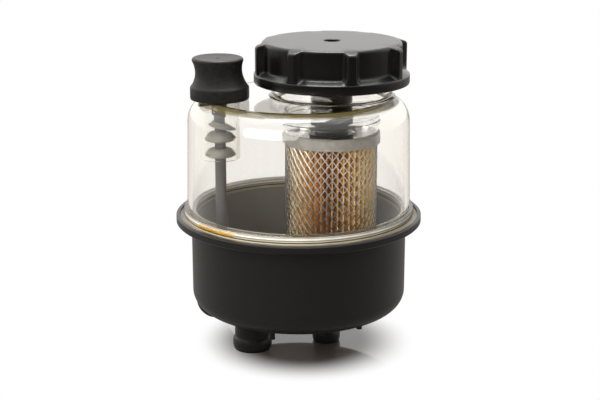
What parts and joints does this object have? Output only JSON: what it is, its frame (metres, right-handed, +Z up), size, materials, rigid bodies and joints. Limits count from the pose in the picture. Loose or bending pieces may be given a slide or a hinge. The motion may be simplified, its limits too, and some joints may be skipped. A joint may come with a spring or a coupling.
{
  "type": "power steering reservoir",
  "caption": "Round power steering fluid reservoir: black bowl with hose spigots, clear dome, screw cap over a mesh filter, and a pull-out dipstick.",
  "frame": {"origin": "on the tank's axis, at the level of the ends of the hose spigots that it stands on", "axes": "+Z up along the tank's axis, +X towards the cap side, +Y towards the back with the angled outlet"},
  "size_m": [0.1596, 0.1596, 0.2012],
  "materials": {
    "black_bowl": "fine speckled matt",
    "clear_plastic": "clear, faintly ivory",
    "amber_sealant": "semi-gloss bead",
    "black_cap": "satin",
    "black_rubber": "matt",
    "grey_foam": "open foam",
    "black_inner": "satin",
    "spring_steel": "drawn wire",
    "milky_plastic": "translucent",
    "galvanised_mesh": "galvanised",
    "filter_paper": "resin-treated",
    "galvanised_core": "galvanised",
    "grip_rubber": "matt",
    "dark_stem": "satin",
    "dark_disc": "matt"
  },
  "bodies": {
    "tank": {"lower_bowl": "black_bowl", "clear_dome": "clear_plastic", "flange_seal": "amber_sealant", "filter_top_cap": "milky_plastic", "filter_bottom_cap": "milky_plastic", "filter_bottom_seal": "black_rubber", "filter_mesh": "galvanised_mesh", "filter_paper": "filter_paper", "filter_core": "galvanised_core"},
    "hold_down": {"hold_down_sleeve": "black_inner", "hold_down_spring": "spring_steel"},
    "cap": {"filler_cap": "black_cap", "cap_gasket": "black_rubber", "vent_filter": "grey_foam", "vent_retainer": "black_inner"},
    "plunger": {"hold_down_plunger": "black_inner", "plunger_seal": "black_rubber"},
    "dipstick": {"dipstick_grip": "grip_rubber", "dipstick_stem": "dark_stem", "lower_splash_disc": "dark_disc", "middle_splash_disc": "dark_disc", "upper_splash_disc": "dark_disc"}
  },
  "joints": [
    {"name": "cap_lift", "type": "slide", "parent": "tank", "child": "hold_down", "axis": [0, 0, 1], "range_m": [0, 0.00801]},
    {"name": "cap_turn", "type": "hinge", "parent": "hold_down", "child": "cap", "pos_m": [0.02121, 0.00505, 0.19], "axis": [0, 0, 1], "range_deg": [0, 720]},
    {"name": "plunger_press", "type": "slide", "parent": "hold_down", "child": "plunger", "axis": [0, 0, 1], "range_m": [0, 0.004], "stiffness_N_per_m": 1500, "springref_m": -0.006, "deforming": ["hold_down_spring"]},
    {"name": "dipstick_pull", "type": "slide", "parent": "tank", "child": "dipstick", "axis": [0, 0, 1], "range_m": [0, 0.15]}
  ],
  "couplings": [
    {"joint": "cap_lift", "follows": "cap_turn", "m_per_rad": 0.00063662}
  ]
}
